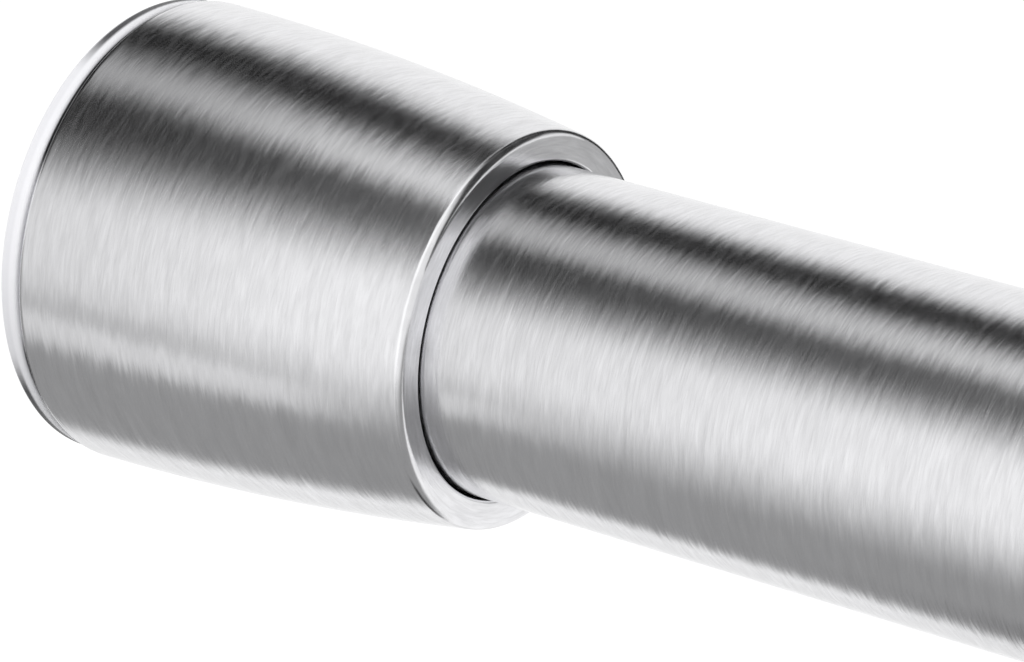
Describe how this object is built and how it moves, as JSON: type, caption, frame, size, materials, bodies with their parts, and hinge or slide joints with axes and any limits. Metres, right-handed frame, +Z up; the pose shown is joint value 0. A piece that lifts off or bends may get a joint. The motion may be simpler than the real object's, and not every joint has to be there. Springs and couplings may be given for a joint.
{
  "type": "spring tension rod",
  "caption": "Telescopic spring tension rod of brushed steel tube, with bell-shaped end covers, soft wall pads, an inner twist lock and a compression spring.",
  "frame": {"origin": "centre of the wall face of the larger tube's pad", "axes": "+X along the rod from the larger tube's wall to the smaller tube's wall, +Z up, with the rod level as it hangs between two walls"},
  "size_m": [0.6096, 0.036, 0.036],
  "materials": {
    "tube_steel": "brushed round the tube, satin nickel tone",
    "cover_steel": "brushed round the bell, satin nickel tone",
    "pad_rubber": "matt white",
    "plug_plastic": "moulded, pale grey",
    "collar_plastic": "moulded, grey",
    "lock_plastic": "moulded, dark grey",
    "ring_rubber": "matt black",
    "rod_steel": "drawn bar, zinc plated",
    "spring_steel": "spring wire",
    "washer_steel": "stamped, zinc plated"
  },
  "bodies": {
    "outer_side": {"outer_tube": "tube_steel", "outer_wall_pad": "pad_rubber", "outer_end_plug": "plug_plastic", "outer_end_cover": "cover_steel", "tube_collar": "collar_plastic"},
    "lock": {"lock_expander": "lock_plastic", "front_grip_ring": "ring_rubber", "rear_grip_ring": "ring_rubber"},
    "cone": {"lock_cone": "lock_plastic"},
    "rod": {"push_rod": "rod_steel", "cone_stop_clip": "washer_steel", "thrust_washer": "washer_steel", "front_spring_seat": "washer_steel", "tension_spring": "spring_steel", "rod_stop_washer": "washer_steel", "rod_stop_nut": "rod_steel"},
    "inner_side": {"inner_tube": "tube_steel", "inner_wall_pad": "pad_rubber", "inner_end_plug": "plug_plastic", "inner_end_cover": "cover_steel", "rod_guide": "lock_plastic", "rear_spring_seat": "washer_steel"}
  },
  "joints": [
    {"name": "length_slide", "type": "slide", "parent": "outer_side", "child": "lock", "axis": [1, 0, 0], "range_m": [0, 0.3048]},
    {"name": "lock_twist", "type": "hinge", "parent": "lock", "child": "rod", "pos_m": [0.05, 0, 0], "axis": [-1, 0, 0], "range_deg": [0, 360]},
    {"name": "cone_draw", "type": "slide", "parent": "lock", "child": "cone", "axis": [1, 0, 0], "range_m": [0, 0.0015]},
    {"name": "spring_slide", "type": "slide", "parent": "rod", "child": "inner_side", "axis": [1, 0, 0], "range_m": [-0.025, 0], "stiffness_N_per_m": 2630, "springref_m": 0.019, "deforming": ["tension_spring"]}
  ],
  "couplings": [
    {"joint": "cone_draw", "follows": "lock_twist", "m_per_rad": 0.00023873}
  ]
}
